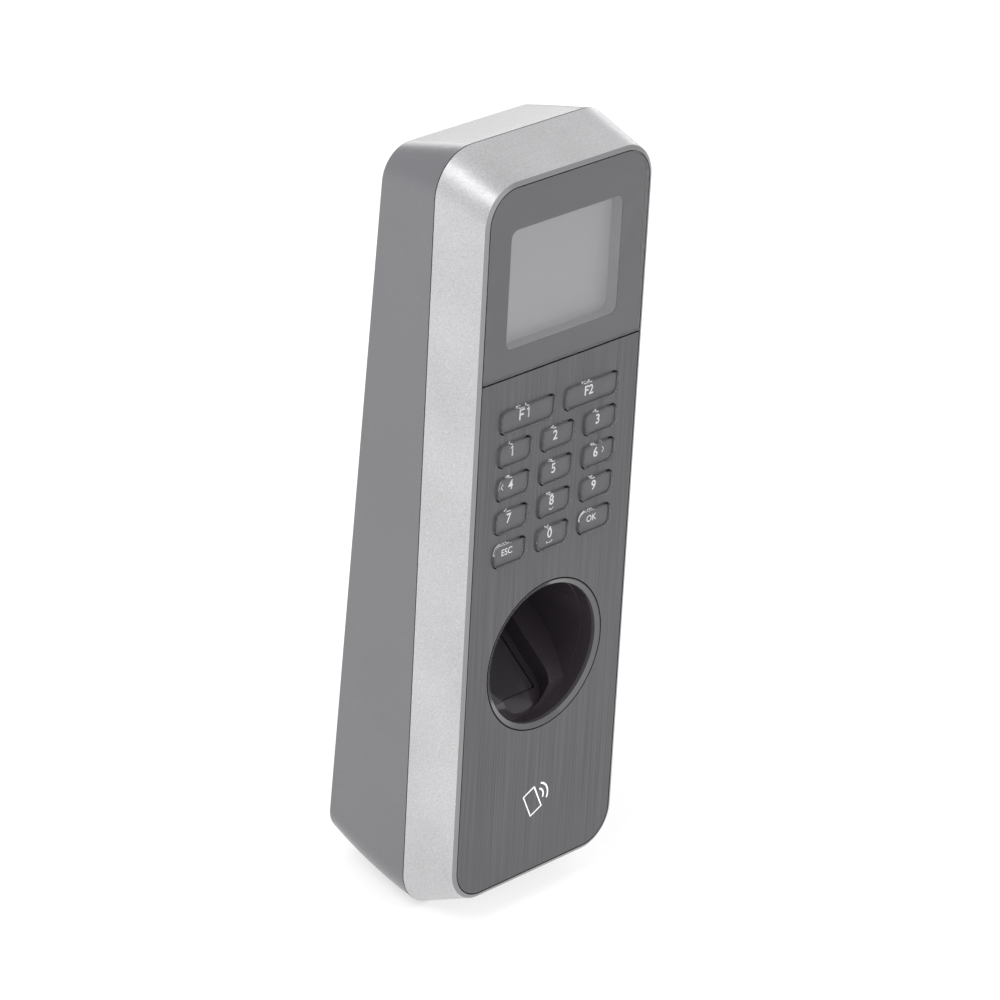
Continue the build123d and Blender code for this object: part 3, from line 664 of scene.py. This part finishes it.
# the figure one has a flag, so legends with it are drawn with strokes too
drawnLegends = {
    "1": [[(-0.55, 0.8), (0.05, 1.25), (0.05, -1.25)]],
    "F1": [
        [(-0.2, 1.25), (-1.7, 1.25), (-1.7, -1.25)],
        [(-1.7, 0.1), (-0.4, 0.1)],
        [(0.65, 0.8), (1.2, 1.25), (1.2, -1.25)],
    ],
}
inkThick = keySize["inkThick"] * mm
coreMargin = 2 * (keySize["flange"] + keySize["coreInset"]) * mm
shiftX, shiftUp = [amount * mm for amount in keySize["shift"]]
for name, text in legends.items():
    low, high = faceSpan(name)
    middle = (low + high) / 2
    wide = high.x - low.x - coreMargin
    tall = high.y - low.y - coreMargin
    printLevel = high.z - keySize["printDepth"] * mm
    core = roundedSlab(wide, tall, keySize["coreThick"] * mm, keySize["corner"] * mm)
    layOnFace(core, middle.x, middle.y, printLevel)
    makeObject(name + "_core", core, corePrint, name)
    small = text in ("ESC", "OK")
    letterTall = keySize["smallTall" if small else "letterTall"] * mm
    bold = keySize["smallBold" if small else "bold"] * mm
    if text in drawnLegends:
        lines = scaledLines(drawnLegends[text], mm)
        shapes = [strokeMesh(lines, keySize["heavy"] * mm, inkThick)]
    else:
        shapes = [letterMesh(text, letterTall, keySize["narrow"], bold, inkThick)]
    shapes[0].transform(Matrix.Translation((0, keySize["lift"].get(name, 0.0) * mm, 0)))
    if name in sideMarks:
        lines = scaledLines(sideMarks[name], mm)
        shapes.append(strokeMesh(lines, keySize["stroke"] * mm, inkThick))
    letters = joinMeshes(name + "_legend", shapes)
    layOnFace(letters, middle.x + shiftX, middle.y + shiftUp, printLevel + inkThick)
    makeObject(name + "_legend", letters, legendInkAndGlow, name)
    dress(capPlastic, name)
print("keys and legends made:", len(legends))

# card symbol, printed low on the face: a tilted card with two waves, in shares of its size
cardSign = {
    "place": (0.3, -74.0),
    "size": 9.5,
    "stroke": 0.5,
    "thick": 0.03,
    "card": [(-0.118, 0.406), (-0.498, 0.228), (-0.202, -0.406), (0.178, -0.228), (-0.118, 0.406)],
    "waveFrom": (0.03, 0.09),
    "waveReach": (0.2, 0.36),
    "waveTurns": range(-25, 76, 10),
}
cardLines = [cardSign["card"]]
waveX, waveY = cardSign["waveFrom"]
for reach in cardSign["waveReach"]:
    turns = [radians(angle) for angle in cardSign["waveTurns"]]
    cardLines.append([(waveX + reach * cos(turn), waveY + reach * sin(turn)) for turn in turns])
cardLines = scaledLines(cardLines, cardSign["size"] * mm)
cardStrokes = strokeMesh(cardLines, cardSign["stroke"] * mm, cardSign["thick"] * mm)
cardMesh = joinMeshes("card_symbol", [cardStrokes])
layOnFace(cardMesh, cardSign["place"][0] * mm, cardSign["place"][1] * mm, panelTop)
makeObject("card_symbol", cardMesh, legendInkAndGlow, "housing")

# finger well
ringLook = {
    "colour": (0.085, 0.084, 0.09),
    "rough": 0.14,
    "grain": 0.2,
    "spread": 0.06,
    "roughSpread": 0.04,
    # a painted shade band round the ring's outer edge: its width in mm and its colour
    "rim": 0.2,
    "rimShadeColour": (0.015, 0.013, 0.015),
    "plain": {"Specular IOR Level": 0.8},
}
wellLook = {
    "colour": (0.045, 0.037, 0.045),
    "rough": 0.16,
    "grain": 0.25,
    "spread": 0.2,
    "bump": 0.05,
    "bumpDepth": 0.01,
}
prismLook = {
    "colour": (0.05, 0.045, 0.05),
    "rough": 0.06,
    "grain": 0.4,
    "spread": 0.1,
    "roughSpread": 0.03,
    "plain": {"Coat Weight": 0.5},
}
ringGloss, tree, shader = mottled("ringGloss", ringLook)
ringLow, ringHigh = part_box("sensor_ring")
centred = tree.nodes.new("ShaderNodeVectorMath")
centred.operation = "SUBTRACT"
centred.inputs[1].default_value = (ringLow + ringHigh) / 2
tree.links.new(objectPlace(tree), centred.inputs[0])
ringReach = (ringHigh.x - ringLow.x) / 2 - ringLook["rim"] * mm
disc = placeGroup(
    tree, pocketGroup, centred.outputs[0],
    **{"Half Width": ringReach, "Half Height": ringReach, "Corner": ringReach},
)
# painted shade: a thin near-black band round the ring's outer edge widens the dark gap line
gloss = shader.inputs["Base Color"].links[0].from_socket
ringWithRimShade = mixColour(tree, disc.outputs["Mask"], ringLook["rimShadeColour"], gloss)
tree.links.new(ringWithRimShade, shader.inputs["Base Color"])
dress(ringGloss, "sensor_ring")
dress(mottled("wellPlastic", wellLook)[0], "sensor_well")
dress(mottled("prismGlass", prismLook)[0], "sensor_glass")
print("finger well dressed")

# everything behind the face, seen from the back or when opened
innerLooks = {
    "gasketRubber": (
        {"colour": (0.01, 0.01, 0.01), "rough": 0.7, "grain": 0.2, "bump": 0.1},
        ["housing_gasket"],
    ),
    "zincSteel": (
        {"colour": (0.55, 0.56, 0.57), "rough": 0.35, "metal": 1.0, "grain": 1.2, "cloud": 6.0,
         "spread": 0.12, "roughSpread": 0.1},
        ["wall_bracket"],
    ),
    "screwSteel": (
        {"colour": (0.5, 0.5, 0.5), "rough": 0.3, "metal": 1.0, "grain": 0.3, "spread": 0.12},
        ["case_screws", "board_screws", "keypad_screws", "sensor_screws", "bracket_screw"],
    ),
    "siliconeMat": (
        {"colour": (0.45, 0.46, 0.48), "rough": 0.6, "grain": 0.3, "bump": 0.1},
        ["keypad_mat"],
    ),
    "boardGreen": (
        {"colour": (0.015, 0.11, 0.045), "rough": 0.35, "grain": 0.8, "cloud": 5.0, "spread": 0.25},
        ["keypad_board", "main_board", "rf_board", "sensor_board"],
    ),
    "socketPlastic": (
        {"colour": (0.75, 0.72, 0.63), "rough": 0.5, "grain": 0.3},
        ["keypad_connector", "display_connector", "tamper_plunger"],
    ),
    "frameGrey": ({"colour": (0.46, 0.46, 0.47), "rough": 0.5, "grain": 0.3}, ["lcd_frame"]),
    "lightGuide": ({"colour": (0.8, 0.8, 0.8), "rough": 0.4, "grain": 0.5}, ["lcd_backlight"]),
    "flexFilm": (
        {"colour": (0.45, 0.2, 0.03), "rough": 0.3, "grain": 0.5, "cloud": 3.0, "spread": 0.15},
        ["lcd_flex"],
    ),
    "matteBlack": (
        {"colour": (0.02, 0.02, 0.02), "rough": 0.55, "grain": 0.3, "bump": 0.1},
        ["sensor_housing", "sensor_camera", "coin_holder", "buzzer", "tamper_switch"],
    ),
    "ledLens": ({"colour": (0.7, 0.08, 0.05), "rough": 0.2, "grain": 0.2}, ["sensor_leds"]),
    "tinPlate": (
        {"colour": (0.6, 0.6, 0.58), "rough": 0.25, "metal": 1.0, "grain": 0.6, "cloud": 4.0},
        ["shield_can", "usb_port", "network_jack"],
    ),
    "chipResin": (
        {"colour": (0.02, 0.02, 0.022), "rough": 0.5, "grain": 0.15, "bump": 0.1},
        ["memory_chips"],
    ),
    "capacitorCan": (
        {"colour": (0.6, 0.6, 0.62), "rough": 0.25, "metal": 1.0, "grain": 0.3},
        ["capacitors"],
    ),
    "terminalGreen": (
        {"colour": (0.03, 0.25, 0.08), "rough": 0.45, "grain": 0.3, "bump": 0.08},
        ["terminal_block"],
    ),
    "coinSteel": (
        {"colour": (0.62, 0.62, 0.6), "rough": 0.2, "metal": 1.0, "grain": 0.3},
        ["coin_cell"],
    ),
    "coilCopper": (
        {"colour": (0.6, 0.25, 0.1), "rough": 0.3, "metal": 1.0, "grain": 0.3},
        ["antenna_coil"],
    ),
}
for label, (look, names) in innerLooks.items():
    dress(mottled(label, look)[0], *names)
print("inner pieces dressed")
